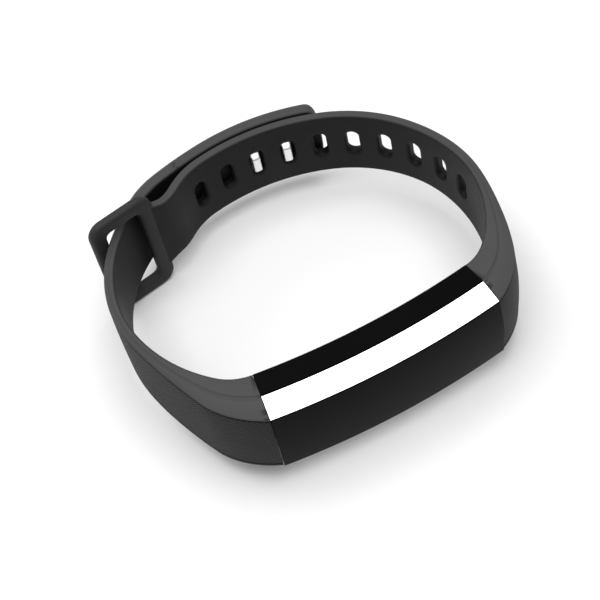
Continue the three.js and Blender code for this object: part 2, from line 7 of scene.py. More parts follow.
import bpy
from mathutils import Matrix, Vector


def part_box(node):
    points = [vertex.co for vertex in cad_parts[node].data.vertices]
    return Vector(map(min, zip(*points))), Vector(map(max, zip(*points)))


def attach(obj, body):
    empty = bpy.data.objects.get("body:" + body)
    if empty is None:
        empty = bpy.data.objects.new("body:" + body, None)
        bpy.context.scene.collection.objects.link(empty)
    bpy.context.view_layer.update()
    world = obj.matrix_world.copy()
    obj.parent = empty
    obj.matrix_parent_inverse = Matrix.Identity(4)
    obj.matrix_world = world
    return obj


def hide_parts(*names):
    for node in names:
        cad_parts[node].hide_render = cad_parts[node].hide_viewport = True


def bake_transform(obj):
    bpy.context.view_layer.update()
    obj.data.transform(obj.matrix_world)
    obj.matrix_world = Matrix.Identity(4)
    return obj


bl_info = {
    "name": "Wrist fitness band",
    "version": (1, 0, 0),
    "blender": (4, 5, 0),
    "location": "View3D > Sidebar > Band",
    "description": "Builds the case, straps, keeper ring and studs of a wrist fitness band",
    "category": "Add Mesh",
}

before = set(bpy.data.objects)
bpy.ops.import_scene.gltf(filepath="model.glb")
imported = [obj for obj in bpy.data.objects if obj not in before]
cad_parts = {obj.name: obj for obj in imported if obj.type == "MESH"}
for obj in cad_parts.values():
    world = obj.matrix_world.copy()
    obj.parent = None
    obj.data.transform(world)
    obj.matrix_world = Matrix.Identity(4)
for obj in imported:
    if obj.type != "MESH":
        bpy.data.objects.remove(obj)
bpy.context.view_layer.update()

import math

import bmesh
import bpy
import numpy as np
from bpy.props import FloatProperty, FloatVectorProperty, PointerProperty
from mathutils import Matrix, Vector

MM = 0.001

# ---- Sizes that the CAD part was made to, in millimetres ----

CASE_WIDTH = 18.8
CASE_THICKNESS = 9.9
CASE_RADIUS = 156.5
CASE_HALF_ANGLE = 8.25
FACET_DEPTH = 5.4  # where the flat side ends and the chamfer starts
FACET_SHARE = FACET_DEPTH / CASE_THICKNESS
CHAMFER_DROP = 1.6
DOME_RISE = 0.6
GLASS_BACK = 8.2
TRIM_THICKNESS = 0.8
STRAP_THICKNESS = 2.1
STRAP_WIDTH = 16.0
TAPER_LENGTH = 26.0
TAPER_POWER = 2.3
WIDTH_TAPER_Y = (14.0, 40.0)
SKIN_SHARE = 0.33  # of the thickness, which counts no further than SKIN_LIMIT
SKIN_LIMIT = 3.0
STRAP_START = 0.06
SLOT_COUNT = 10
SLOT_PITCH = 6.9
FIRST_SLOT = 91.65
BACK_RADIUS = 42.4
TAIL_RADIUS = BACK_RADIUS + STRAP_THICKNESS + 0.4
RING_CENTRE = 111.85
RING_THICKNESS = 2.2
HOLED_END = 106.25
FLARE_START = 100.25
RING_FLARE = 1.3
TAIL_ROOT = 67.5
TAIL_BEND = 80.0
TAIL_END = 105.6
STUD_LEAD = 0.25
TAIL_THICKNESS = 3.0
TAIL_GROWTH = (57.0, 66.0)
MID_Z = CASE_WIDTH / 2
RING_Z = MID_Z - 0.45


# ---- Routes in plan ----


class Route:
    """A line in plan, made of arcs and straights laid end to end.

    Each leg is (radius, turn in degrees), or (length, 0) for a straight. side is 1 if the outside
    of the band is left of travel, and -1 if it is right.
    """

    def __init__(self, start, heading, side, legs):
        self.side = side
        rows = []
        s, (x, y), angle = 0.0, start, math.radians(heading)
        for size, degrees in legs:
            turn = math.radians(degrees)
            curve = math.copysign(1 / size, turn) if turn else 0.0
            rows.append((s, x, y, angle, curve))
            length = size * abs(turn) if turn else size
            x, y, angle = self._advance(x, y, angle, curve, length)
            s += length
        self.table = np.array(rows)
        self.length = s

    @staticmethod
    def _advance(x, y, angle, curve, distance):
        """Where a leg is after a distance: x and y grow by the chord of an arc, or by a straight."""
        end = angle + curve * distance
        safe = np.where(curve == 0, 1.0, curve)
        along_x = np.where(curve == 0, distance * np.cos(angle), (np.sin(end) - np.sin(angle)) / safe)
        along_y = np.where(curve == 0, distance * np.sin(angle), (np.cos(angle) - np.cos(end)) / safe)
        return x + along_x, y + along_y, end

    def at(self, s):
        """x, y and heading at s."""
        s = np.asarray(s, float)
        row = np.clip(np.searchsorted(self.table[:, 0], s, side="right") - 1, 0, len(self.table) - 1)
        start, x, y, angle, curve = np.moveaxis(self.table[row], -1, 0)
        return self._advance(x, y, angle, curve, s - start)

    def place(self, sdz):
        """Points in metres, in the row's frame, from an array of (s, d, z)."""
        s, d, z = np.moveaxis(np.asarray(sdz, float), -1, 0)
        x, y, angle = self.at(s)
        out = self.side * d
        points = np.stack([x - np.sin(angle) * out, y + np.cos(angle) * out, z], -1)
        return points * MM + SHIFT


def case_end():
    """The case's right end on the wrist side: the end of an arc whose middle is the origin."""
    half = math.radians(CASE_HALF_ANGLE)
    return CASE_RADIUS * math.sin(half), CASE_RADIUS * (1 - math.cos(half))


END_X, END_Y = case_end()
CASE = Route((-END_X, END_Y), -CASE_HALF_ANGLE, -1, [(CASE_RADIUS, 2 * CASE_HALF_ANGLE)])
HOLED = Route((END_X, END_Y), CASE_HALF_ANGLE, -1, [
    (9.2, 36.095), (23.1, 15.128), (30.8, 96.135), (BACK_RADIUS, 35.242),
    (15, 27), (1.5, 0), (10, -27), (4, 0),
])
STUDDED = Route((-END_X, END_Y), 180 - CASE_HALF_ANGLE, 1, [
    (10.5, -38.231), (32.1, -45.778), (31.2, -62.074), (17.6, -9.319), (77.5, -7.908),
    (TAIL_RADIUS, -33),
])
CASE_MIDDLE = CASE.length / 2

_housing, _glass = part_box("housing"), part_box("front_glass")
SHIFT = np.array([
    (_housing[0].x + _housing[1].x) / 2,
    _glass[0].y + (CASE_THICKNESS + DOME_RISE) * MM,
    _housing[0].z,
])


# ---- Meshes ----


def quads(index):
    """The corner numbers of every quad between neighbouring rows and columns of point numbers."""
    corners = [index[:-1, :-1], index[1:, :-1], index[1:, 1:], index[:-1, 1:]]
    return np.stack(corners, -1).reshape(-1, 4).tolist()


class Shell:
    """Grids of (s, d, z) points on one route, gathered and welded into one mesh."""

    def __init__(self, route):
        self.route = route
        self.points = []
        self.tones_and_painted_light = []
        self.faces = []
        self.count = 0

    def grid(self, points, closed=False, tone_and_painted_light=0.0):
        """Adds the quads between neighbouring rows and columns of points, an array (rows, columns, 3).

        The tone, 0 to 1, says how light the rubber's skin is there, as one value or one for each column. On
        the strap edges it is painted light: lighter edges, darker faces.
        """
        rows, columns = points.shape[:2]
        index = np.arange(rows * columns).reshape(rows, columns) + self.count
        if closed:
            index = np.concatenate([index, index[:, :1]], 1)
        self.points.append(points.reshape(-1, 3))
        self.tones_and_painted_light.append(np.broadcast_to(tone_and_painted_light, (rows, columns)).ravel())
        self.faces.extend(quads(index))
        self.count += rows * columns

    def cap(self, loop):
        """Adds one flat face on a loop of points."""
        self.points.append(loop)
        self.tones_and_painted_light.append(np.zeros(len(loop)))
        self.faces.append(list(range(self.count, self.count + len(loop))))
        self.count += len(loop)

    def build(self, name, sharp=40):
        """The mesh object, smooth except where its faces meet at more than sharp degrees.

        Every point keeps its (s, z, d) in metres as its place attribute, and its tone, which holds painted
        light on the strap edges.
        """
        sdz = np.concatenate(self.points)
        mesh = bpy.data.meshes.new(name)
        mesh.from_pydata(self.route.place(sdz).tolist(), [], self.faces)
        place = mesh.attributes.new("place", "FLOAT_VECTOR", "POINT")
        place.data.foreach_set("vector", (sdz[:, [0, 2, 1]] * MM).astype(np.float32).ravel())
        # The tone attribute holds painted light: lighter strap edges against darker faces
        tone_and_painted_light = mesh.attributes.new("tone_and_painted_light", "FLOAT", "POINT")
        tone_and_painted_light.data.foreach_set("value", np.concatenate(self.tones_and_painted_light).astype(np.float32))
        tidy_mesh(mesh)
        smooth_mesh(mesh, sharp)
        return add_object(name, mesh)


def tidy_mesh(mesh):
    """Welds doubles, drops faces without area, and turns every face outwards."""
    body = bmesh.new()
    body.from_mesh(mesh)
    bmesh.ops.remove_doubles(body, verts=body.verts, dist=2e-6)
    bmesh.ops.dissolve_degenerate(body, edges=body.edges, dist=1e-7)
    bmesh.ops.recalc_face_normals(body, faces=body.faces)
    body.to_mesh(mesh)
    body.free()


def add_object(name, data):
    obj = bpy.data.objects.new(name, data)
    bpy.context.scene.collection.objects.link(obj)
    return obj


def smooth_mesh(mesh, sharp):
    mesh.polygons.foreach_set("use_smooth", np.ones(len(mesh.polygons), bool))
    mesh.set_sharp_from_angle(angle=math.radians(sharp))
    mesh.update()


def refined(node, name, bevel):
    """A copy of a CAD node with its flat faces joined and its edges rounded by a bevel."""
    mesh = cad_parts[node].data.copy()
    mesh.name = name
    mesh.materials.clear()
    body = bmesh.new()
    body.from_mesh(mesh)
    bmesh.ops.remove_doubles(body, verts=body.verts, dist=1e-6)
    bmesh.ops.dissolve_limit(body, angle_limit=math.radians(0.3), verts=body.verts, edges=body.edges)
    body.to_mesh(mesh)
    body.free()
    smooth_mesh(mesh, 25)
    obj = add_object(name, mesh)
    modifier = obj.modifiers.new("Rounded edges", "BEVEL")
    modifier.width = bevel * MM
    modifier.segments = 2
    modifier.limit_method = "ANGLE"
    modifier.angle_limit = math.radians(25)
    modifier.harden_normals = True
    return obj


def finish_piece(obj, material, slot, body, *nodes):
    """Gives a piece its material, hides the CAD nodes that it stands for, and fixes it to a body; slot is not
    used.
    """
    obj.data.materials.clear()
    obj.data.materials.append(material)
    if nodes:
        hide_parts(*nodes)
    if body:
        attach(obj, body)


# ---- Strap shapes ----


ACROSS = 16  # columns across a face of a strap
RIM_COLUMNS = 8  # columns round the roll between an edge and the wrist side


def smoothstep(t):
    t = np.clip(t, 0, 1)
    return t * t * (3 - 2 * t)


def thickness_at(route, s):
    """A strap's thickness: the case's, falling to the strap's own as a power of what is left of the taper.

    The studded strap grows again, by a smooth step, for its tail.
    """
    s = np.asarray(s, float)
    left = np.clip(1 - s / TAPER_LENGTH, 0, None)
    thickness = STRAP_THICKNESS + (CASE_THICKNESS - STRAP_THICKNESS) * left ** TAPER_POWER
    if route is STUDDED:
        near, far = TAIL_GROWTH
        thickness = thickness + (TAIL_THICKNESS - STRAP_THICKNESS) * smoothstep((s - near) / (far - near))
    return thickness


def half_width_at(route, s):
    """Half of a strap's width: the case's, easing to the strap's own between two heights in plan.

    The slotted strap also spreads a little where it runs into the keeper ring.
    """
    near, far = WIDTH_TAPER_Y
    share = smoothstep((route.at(s)[1] - near) / (far - near))
    half = (CASE_WIDTH + (STRAP_WIDTH - CASE_WIDTH) * share) / 2
    if route is HOLED:
        half = half + RING_FLARE * smoothstep((np.asarray(s) - FLARE_START) / (HOLED_END - FLARE_START)) ** 2
    return half


def skin_recess(t):
    """How deep a skin sits in its core: a share of the thickness, up to a limit."""
    return SKIN_SHARE * np.minimum(t, SKIN_LIMIT)


def edge_profile(thickness):
    """The side of a strap's core as (inset, d) for each row: two rolls with a valley between.

    A quarter circle leaves the wrist side, a flat runs out to the valley, whose depth follows a
    squared cosine, and a slightly full slope runs to a small round at the skin's recess.
    """
    t = np.asarray(thickness, float)[:, None]
    scale = t / CASE_THICKNESS
    facet, drop = FACET_SHARE * t, CHAMFER_DROP * scale
    skin = skin_recess(t)
    rim = np.minimum(0.5, 0.2 * facet + 0.22)
    valley = 0.62 * np.minimum(1, 0.25 + facet / FACET_DEPTH)
    dip = 0.52 * valley
    turn = np.linspace(0, np.pi / 2, RIM_COLUMNS)[None, :]
    rim_inset, rim_depth = rim * (1 - np.sin(turn)), rim * (1 - np.cos(turn))
    x = np.linspace(-1, 1, 13)[None, :]
    lip = 0.16 + 0.12 * scale
    slope = drop / (t - facet)
    flat_depth = facet + valley * x
    flat_inset = dip * np.cos(np.pi * x / 2) ** 2 + np.clip(flat_depth - facet, 0, None) * slope
    run = np.linspace(0, 1, 8)[None, 1:]
    run_depth = facet + valley + run * (t - lip - facet - valley)
    run_inset = (run_depth - facet) * slope - 0.16 * scale * np.sin(np.pi * run)
    bend = np.linspace(0, np.pi / 2, 6)[None, 1:]
    end_inset = (t - lip - facet) * slope
    bend_inset = end_inset + lip * (1 - np.cos(bend)) + lip * 0.3 * np.sin(bend)
    bend_depth = t - lip + lip * np.sin(bend)
    wall_depth = np.concatenate([t - 0.5 * skin, t - skin], 1)
    wall_inset = np.repeat(bend_inset[:, -1:] + 0.05, 2, 1)
    inset = np.concatenate([rim_inset, flat_inset, run_inset, bend_inset, wall_inset], 1)
    depth = np.concatenate([rim_depth, flat_depth, run_depth, bend_depth, wall_depth], 1)
    return inset, depth


def skin_profile(thickness):
    """The edge of a strap's skin as (inset, d) for each row: up its wall, then a quarter circle."""
    t = np.asarray(thickness, float)[:, None]
    scale = t / CASE_THICKNESS
    skin = skin_recess(t)
    lip = 0.16 + 0.12 * scale
    slope = CHAMFER_DROP / (CASE_THICKNESS * (1 - FACET_SHARE))
    start = (t - lip - FACET_SHARE * t) * slope + 1.3 * lip + 0.05
    start = start + 0.30 + 0.1 * scale
    radius = 0.26
    turn = np.linspace(0, np.pi / 2, 6)[None, :]
    inset = np.concatenate([start + 0 * t, start + 0 * t, start + radius * (1 - np.cos(turn[:, 1:]))], 1)
    depth = np.concatenate([t - skin + 0.04, t - radius, t - radius + radius * np.sin(turn[:, 1:])], 1)
    return inset, depth


TIP_LENGTH = 3.2
TIP_POWER = 3.4
TIP_ROWS = 14


def tip_rows(s_end, half, inset):
    """Rows round a strap's tip: a superellipse in plan, whose both half axes lose the inset."""
    turn = np.linspace(0, np.pi / 2, TIP_ROWS)[:, None]
    power = 2 / TIP_POWER
    along = s_end - TIP_LENGTH + (TIP_LENGTH - inset) * np.sin(turn) ** power
    width = (half - inset) * np.clip(np.cos(turn), 0, None) ** power
    width[-1] = 0
    return along, width


def band_rows(route, start, end, step, rounded_end, profile):
    """s, half width and d of every point of an edge profile, for rows along a strap."""
    straight_end = end - TIP_LENGTH if rounded_end else end
    s = np.linspace(start, straight_end, max(2, int(round((straight_end - start) / step)) + 1))
    half = half_width_at(route, s)
    inset, depth = profile(thickness_at(route, s))
    along = np.repeat(s[:, None], inset.shape[1], 1)
    width = half[:, None] - inset
    if rounded_end:
        tip_inset = np.repeat(inset[-1:], TIP_ROWS, 0)
        tip_along, tip_width = tip_rows(end, half[-1], tip_inset)
        along = np.concatenate([along, tip_along[1:]])
        width = np.concatenate([width, tip_width[1:]])
        depth = np.concatenate([depth, np.repeat(depth[-1:], TIP_ROWS - 1, 0)])
    return along, width, depth


def face_columns(along, width, depth, crown=0.0):
    """A strap's face between its two edges, with a crown that falls off as the square of the way out."""
    share = np.linspace(-1, 1, ACROSS + 1)[None, :]
    rise = crown * (1 - share**2)
    s = np.repeat(along[:, None], ACROSS + 1, 1)
    return np.stack([s, depth[:, None] + rise, MID_Z + width[:, None] * share], -1)


def edge_columns(along, width, depth, sign):
    return np.stack([along, depth, MID_Z + sign * width], -1)


def edge_painted_light(columns):
    """Painted light on an edge: dark where it meets the wrist side, growing in a straight line round its
    first roll, then full on the rest of the edge.
    """
    return np.clip(np.arange(columns) / (RIM_COLUMNS - 1), 0, 1)


def crown_at(s, least):
    """How far a skin stands proud at its middle: the glass's dome near the case, and little further on."""
    return least + (DOME_RISE - least) * np.clip(1 - np.asarray(s) / TAPER_LENGTH, 0, 1) ** 2


def slot_cell(s_lines, z_edge, depth_in, depth_out, half_length, half_height, lip, lip_out=0.0):
    """The wall of one slot and the faces round it, as rings from the near face's edge to the far one's.

    Each ring joins points at the same angle. The rings on a face run from the cell's rectangle to a
    round-ended slot, the lip is a quarter circle, and the last rings run back out on the far face.
    """
    low, high = s_lines[0], s_lines[-1]
    middle = (low + high) / 2
    share = np.linspace(-1, 1, ACROSS + 1)
    # The rectangle's corner points, once round: up one side, along the top, down, and back
    edge_s = np.concatenate([np.full(ACROSS, low), s_lines[:-1], np.full(ACROSS, high), s_lines[:0:-1]])
    edge_share = np.concatenate([
        share[:-1], np.ones(len(s_lines) - 1), share[:0:-1], -np.ones(len(s_lines) - 1)])
    rect = np.stack([edge_s - middle, z_edge(edge_s) * edge_share], -1)

    def round_slot(grow):
        """A round-ended slot's edge on the rays through the rectangle's points."""
        # Spread the rays evenly between the slot's own sides and ends
        angle = np.arctan2(rect[:, 1] / half_height, rect[:, 0] / half_length)
        radius, reach = half_length + grow, half_height - half_length
        c, sn = np.cos(angle) * half_length, np.sin(angle) * half_height
        norm = np.hypot(c, sn)
        c, sn = c / norm, sn / norm
        side = radius / np.maximum(np.abs(c), 1e-9)
        disc = np.clip(radius**2 - (reach * c) ** 2, 0, None)
        round_end = reach * np.abs(sn) + np.sqrt(disc)
        distance = np.where(side * np.abs(sn) <= reach, side, round_end)
        return np.stack([c * distance, sn * distance], -1)

    rings = []

    def ring(plan, depth_of):
        s = plan[:, 0] + middle
        rings.append(np.stack([s, depth_of(s), MID_Z + plan[:, 1]], -1))

    near = round_slot(lip)
    for share_in in np.linspace(0, 1, 7)[:-1]:
        eased = 1 - (1 - share_in) ** 1.3
        ring(rect * (1 - eased) + near * eased, depth_in)
    for turn in np.linspace(0, np.pi / 2, 7):
        plan = round_slot(lip * (1 - math.sin(turn)))
        ring(plan, lambda s, t=turn: depth_in(s) + lip * (1 - math.cos(t)))
    if lip_out:
        for turn in np.linspace(0, np.pi / 2, 5):
            plan = round_slot(lip_out * (1 - math.cos(turn)))
            ring(plan, lambda s, t=turn: depth_out(s) - lip_out * (1 - math.sin(t)))
    far = round_slot(lip_out)
    for share_out in np.linspace(0, 1, 5):
        ring(far * (1 - share_out) + rect * share_out, depth_out)
    return np.array(rings)


CELL_STEPS = 10  # rows along the strap in each slot's cell
NEAR_RINGS = 13  # rings of a cell on its near face and lip
ROW_STEP = 0.7
SLOT_ROW_START = FIRST_SLOT - (SLOT_COUNT - 0.5) * SLOT_PITCH
SLOT_ROW_END = FIRST_SLOT + 0.5 * SLOT_PITCH


def section_loop(along, width, depth, row, rise):
    """The whole section at one row as a loop: wrist side, upper edge, outside, lower edge."""
    share = np.linspace(-1, 1, ACROSS + 1)

    def face(column, crown):
        return np.stack([
            np.full(ACROSS + 1, along[row, column]),
            depth[row, column] + crown * (1 - share**2),
            MID_Z + width[row, column] * share,
        ], -1)

    inner, outer = face(0, 0.0), face(-1, rise)
    upper = edge_columns(along[row], width[row], depth[row], 1)
    lower = edge_columns(along[row], width[row], depth[row], -1)
    return np.concatenate([inner[:-1], upper[:-1], outer[:0:-1], lower[:0:-1]])


def add_plain_stretch(shell, route, start, end, profile, caps, rounded_end=False, crown=None):
    """A stretch of strap with no slots: the wrist-side face, both edges and the outer face."""
    along, width, depth = band_rows(route, start, end, ROW_STEP, rounded_end, profile)
    rise = np.zeros(len(along)) if crown is None else crown(along[:, -1])
    shell.grid(face_columns(along[:, 0], width[:, 0], depth[:, 0]))
    shell.grid(face_columns(along[:, -1], width[:, -1], depth[:, -1], rise[:, None]))
    # The edges take painted light, lighter than the faces
    for sign in (-1, 1):
        shell.grid(edge_columns(along, width, depth, sign), tone_and_painted_light=edge_painted_light(width.shape[1]))
    for row in caps:
        shell.cap(section_loop(along, width, depth, row, rise[row]))


def sampled(rows, values):
    """A function of s that runs in straight lines between the values at the rows."""
    return lambda s: np.interp(s, rows, values)


def add_slotted_stretch(shell, route, profile, half_length, half_height, lip, lip_out, crown=None):
    """The stretch of strap with slots: one cell for each slot between two plain edges."""
    rows = np.linspace(SLOT_ROW_START, SLOT_ROW_END, SLOT_COUNT * CELL_STEPS + 1)
    inset, depth = profile(thickness_at(route, rows))
    width = half_width_at(route, rows)[:, None] - inset
    along = np.repeat(rows[:, None], inset.shape[1], 1)
    # The edges take painted light, lighter than the faces
    for sign in (-1, 1):
        shell.grid(edge_columns(along, width, depth, sign), tone_and_painted_light=edge_painted_light(width.shape[1]))
    near_width, far_width, near_depth, far_depth = (
        sampled(rows, table[:, column]) for table in (width, depth) for column in (0, -1))
    for k in range(SLOT_COUNT):
        lines = rows[k * CELL_STEPS:(k + 1) * CELL_STEPS + 1]
        cell = slot_cell(lines, near_width, near_depth, far_depth, half_length, half_height, lip, lip_out)
        last = cell[-1]
        share = (last[:, 2] - MID_Z) / near_width(last[:, 0])
        outer_ring = np.stack([last[:, 0], last[:, 1], MID_Z + share * far_width(last[:, 0])], -1)
        blend = np.linspace(0, 1, 5)[:, None, None]
        inner_ring = cell[-5][None]
        cell[-5:] = inner_ring * (1 - blend) + outer_ring[None] * blend
        if crown is not None:
            outside = cell[NEAR_RINGS:]
            half = far_width(outside[..., 0])
            outside[..., 1] += crown(outside[..., 0]) * (1 - ((outside[..., 2] - MID_Z) / half) ** 2)
        shell.grid(cell, closed=True)


SLOT_HALVES = (1.3, 3.0)  # half length and half height of a slot
SLOT_LIP = 0.8
SKIN_SLOT_HALVES = (1.35, 3.05)
SKIN_LIP = 0.22
SKIN_STOP = 8.0  # how far before the strap's end its skin ends


def make_slotted_strap():
    shell = Shell(HOLED)
    add_plain_stretch(shell, HOLED, STRAP_START, SLOT_ROW_START, edge_profile, [0])
    add_slotted_stretch(shell, HOLED, edge_profile, *SLOT_HALVES, SLOT_LIP, 0.0)
    add_plain_stretch(shell, HOLED, SLOT_ROW_END, HOLED_END, edge_profile, [-1])
    return shell.build("slotted_strap")


def skin_crown(s):
    return crown_at(s, 0.1)


def make_slotted_skin():
    shell = Shell(HOLED)
    end = HOLED_END - SKIN_STOP
    add_plain_stretch(shell, HOLED, STRAP_START, SLOT_ROW_START, skin_profile, [0], crown=skin_crown)
    add_slotted_stretch(shell, HOLED, skin_profile, *SKIN_SLOT_HALVES, 0.0, SKIN_LIP, crown=skin_crown)
    add_plain_stretch(shell, HOLED, SLOT_ROW_END, end, skin_profile, [-1], crown=skin_crown)
    return shell.build("slotted_skin")


LINK_MIDDLE = (TAIL_ROOT + TAIL_BEND) / 2


def make_studded_piece(name, start, end, profile, crown=None):
    """A stretch of the studded strap; the last one ends in the tail's rounded tip."""
    shell = Shell(STUDDED)
    tip = end == TAIL_END
    caps = [0] if tip else [0, -1]
    add_plain_stretch(shell, STUDDED, start, end, profile, caps, tip, crown)
    return shell.build(name)


# ---- Keeper ring and studs ----


def rounded_outline(half_x, half_z, corner, arc=9, side=8):
    """A rectangle with round corners as (x, z), with the same count of points whatever its size."""
    points = []
    for sign_x, sign_z, start in ((1, 1, 0), (-1, 1, 90), (-1, -1, 180), (1, -1, 270)):
        turn = np.radians(start + np.linspace(0, 90, arc))
        centre = np.array([sign_x * (half_x - corner), sign_z * (half_z - corner)])
        points.append(centre + corner * np.stack([np.cos(turn), np.sin(turn)], -1))
    joined = []
    for here, following in zip(points, points[1:] + points[:1]):
        joined.append(here)
        share = np.linspace(0, 1, side)[1:-1, None]
        joined.append(here[-1] * (1 - share) + following[0] * share)
    return np.concatenate(joined)


def squared_circle(count, power):
    """A closed superellipse of half axes 1, as two columns."""
    turn = np.linspace(0, 2 * np.pi, count, endpoint=False)
    c, s = np.cos(turn), np.sin(turn)
    return np.stack([np.sign(c) * np.abs(c) ** (2 / power), np.sign(s) * np.abs(s) ** (2 / power)], -1)


def make_keeper_ring(length, height, bar, arm, corner):
    """A frame whose section is a superellipse, carried between an outer and an inner rounded outline."""
    outer = rounded_outline(length / 2, height / 2, corner)
    inner = rounded_outline(length / 2 - bar, height / 2 - arm, 1.3)
    centre, half = (outer + inner) / 2, (outer - inner) / 2
    section = squared_circle(28, 2.9)
    plan = centre[:, None, :] + half[:, None, :] * section[None, :, :1]
    depth = RING_THICKNESS / 2 + (RING_THICKNESS / 2 + 0.07) * section[None, :, 1]
    depth = np.repeat(depth, len(outer), 0)
    points = np.stack([RING_CENTRE + plan[..., 0], depth, RING_Z + plan[..., 1]], -1)
    shell = Shell(HOLED)
    shell.grid(np.concatenate([points, points[:1]]), closed=True, tone_and_painted_light=0.42)
    return shell.build("keeper_ring", 60)


STUD_SLOTS = (2, 3)  # counted from the ring, from 0
STUD_WIDTH = 2.1
STUD_HEIGHT = 5.2
STUD_DEPTHS = (-3.1, 0.9)
STUD_ROWS = 30
STUD_ROUND = 0.85
STUD_FLARE = (1.0, 0.16)  # length, and share of the width that is added
TOP_CUT = 1.2  # how far a stud's wrist side draws back at its top


def make_stud(name, s):
    """A post across the strap: a squared section, round at its lower end, flared and cut back on top.

    The round end follows a quarter circle and the flare a smooth step. The cut draws the wrist side
    back in a straight line over the flare's length.
    """
    z = (np.linspace(0, 1, STUD_ROWS)[:, None] - 0.5) * STUD_HEIGHT
    bottom = np.clip((z + STUD_HEIGHT / 2) / STUD_ROUND, 0, 1)
    scale = np.sqrt(np.clip(1 - (1 - bottom) ** 2, 0, 1))
    flare_length, flare_share = STUD_FLARE
    top = np.clip((z - STUD_HEIGHT / 2 + flare_length) / flare_length, 0, 1)
    flare = 1 + flare_share * smoothstep(top)
    across, out = squared_circle(36, 5).T[:, None, :]
    half_depth, middle = (STUD_DEPTHS[1] - STUD_DEPTHS[0]) / 2, sum(STUD_DEPTHS) / 2
    along = s + STUD_WIDTH / 2 * across * scale * flare
    cut = TOP_CUT * top * (1 - out) / 2
    depth = middle + half_depth * out * (0.25 + 0.75 * scale) + cut
    points = np.stack([along, depth, MID_Z + z + 0 * along], -1)
    shell = Shell(STUDDED)
    shell.grid(points, closed=True)
    shell.cap(points[0])
    shell.cap(points[-1])
    return shell.build(name, 50)


def across_from(s):
    """Where on the studded strap's route a slot of the slotted strap lies."""
    start, _, _, angle, _ = STUDDED.table[-1]
    return start + (angle - HOLED.at(s)[2] + math.pi) * TAIL_RADIUS


# ---- Case shapes ----


def rounded_polygon(points, radius, steps=5):
    """A polygon whose corners are replaced by arcs of one radius, cut down where a side is short."""
    points = np.array(points, float)
    result = []
    for before, here, after in zip(np.roll(points, 1, 0), points, np.roll(points, -1, 0)):
        a, b = before - here, after - here
        length_a, length_b = np.linalg.norm(a), np.linalg.norm(b)
        a, b = a / length_a, b / length_b
        half = math.acos(np.clip(a @ b, -1, 1)) / 2
        reach = min(radius / math.tan(half), 0.45 * length_a, 0.45 * length_b)
        share = np.linspace(0, 1, steps)[:, None]
        start, end = here + a * reach, here + b * reach
        result.append((1 - share) ** 2 * start + 2 * share * (1 - share) * here + share**2 * end)
    return np.concatenate(result)


END_ROUND = 0.1  # radius at the ends of a case bar


def make_case_bar(name, section):
    """A section carried along the case's arc, drawn in at both ends by a quarter circle."""
    turn = np.linspace(0, np.pi / 2, 5)
    drop = END_ROUND * (1 - np.sin(turn))
    inset = END_ROUND * (1 - np.cos(turn))
    straight = CASE_MIDDLE - END_ROUND
    middle = np.linspace(-straight, straight, 73)[1:-1]
    rows = np.concatenate([inset - CASE_MIDDLE, middle, (CASE_MIDDLE - inset)[::-1]])
    pull = np.concatenate([drop, np.zeros(len(middle)), drop[::-1]])
    centre = section.mean(0)
    away = centre - section
    away = away / np.linalg.norm(away, axis=1)[:, None]
    plan = section[None] + away[None] * pull[:, None, None]
    along = np.repeat(CASE_MIDDLE + rows[:, None], len(section), 1)
    points = np.concatenate([along[..., None], plan], -1)
    shell = Shell(CASE)
    shell.grid(points, closed=True)
    shell.cap(points[0])
    shell.cap(points[-1])
    return shell.build(name, 35)


CHAMFER_LENGTH = math.hypot(CHAMFER_DROP, CASE_THICKNESS - FACET_DEPTH)
CHAMFER_SLOPE = CHAMFER_DROP / (CASE_THICKNESS - FACET_DEPTH)
TRIM_INNER = (
    CASE_THICKNESS - TRIM_THICKNESS * CHAMFER_DROP / CHAMFER_LENGTH,
    CHAMFER_DROP + TRIM_THICKNESS * (CASE_THICKNESS - FACET_DEPTH) / CHAMFER_LENGTH,
)


def trim_section(upper):
    """The bright strip's section: the chamfer's face, and the same face moved inwards."""
    back = (FACET_DEPTH, TRIM_INNER[1] - CHAMFER_SLOPE * (TRIM_INNER[0] - FACET_DEPTH))
    section = rounded_polygon([(FACET_DEPTH, 0), (CASE_THICKNESS, CHAMFER_DROP), TRIM_INNER, back], 0.05)
    if upper:
        section[:, 1] = CASE_WIDTH - section[:, 1]
    return section


def glass_section():
    """The front glass's section: a parabolic dome, round edges, and a flange that goes in under the trim."""
    radius = 0.15
    edge, proud = CHAMFER_DROP + 0.05, CASE_THICKNESS + 0.2
    share = np.linspace(-1, 1, 25)
    rise = CASE_THICKNESS + DOME_RISE - proud
    dome = np.stack([proud + rise * (1 - share**2), MID_Z + share * (MID_Z - edge - radius)], -1)
    turn = np.linspace(0, np.pi / 2, 6)[1:]
    round_edge = np.stack([proud - radius * (1 - np.cos(turn)), radius * np.sin(turn)], -1)
    upper = round_edge + (0, CASE_WIDTH - edge - radius)
    lower = round_edge[::-1] * (1, -1) + (0, edge + radius)
    under = (TRIM_INNER[0] + 0.12, TRIM_INNER[1] + 0.05)
    flange = TRIM_INNER[1] + 0.3
    back = np.array([
        (under[0], CASE_WIDTH - under[1]), (CASE_THICKNESS - 0.5, CASE_WIDTH - flange),
        (GLASS_BACK, CASE_WIDTH - flange), (GLASS_BACK, flange), (CASE_THICKNESS - 0.5, flange), under])
    return np.concatenate([dome, upper, back, lower])


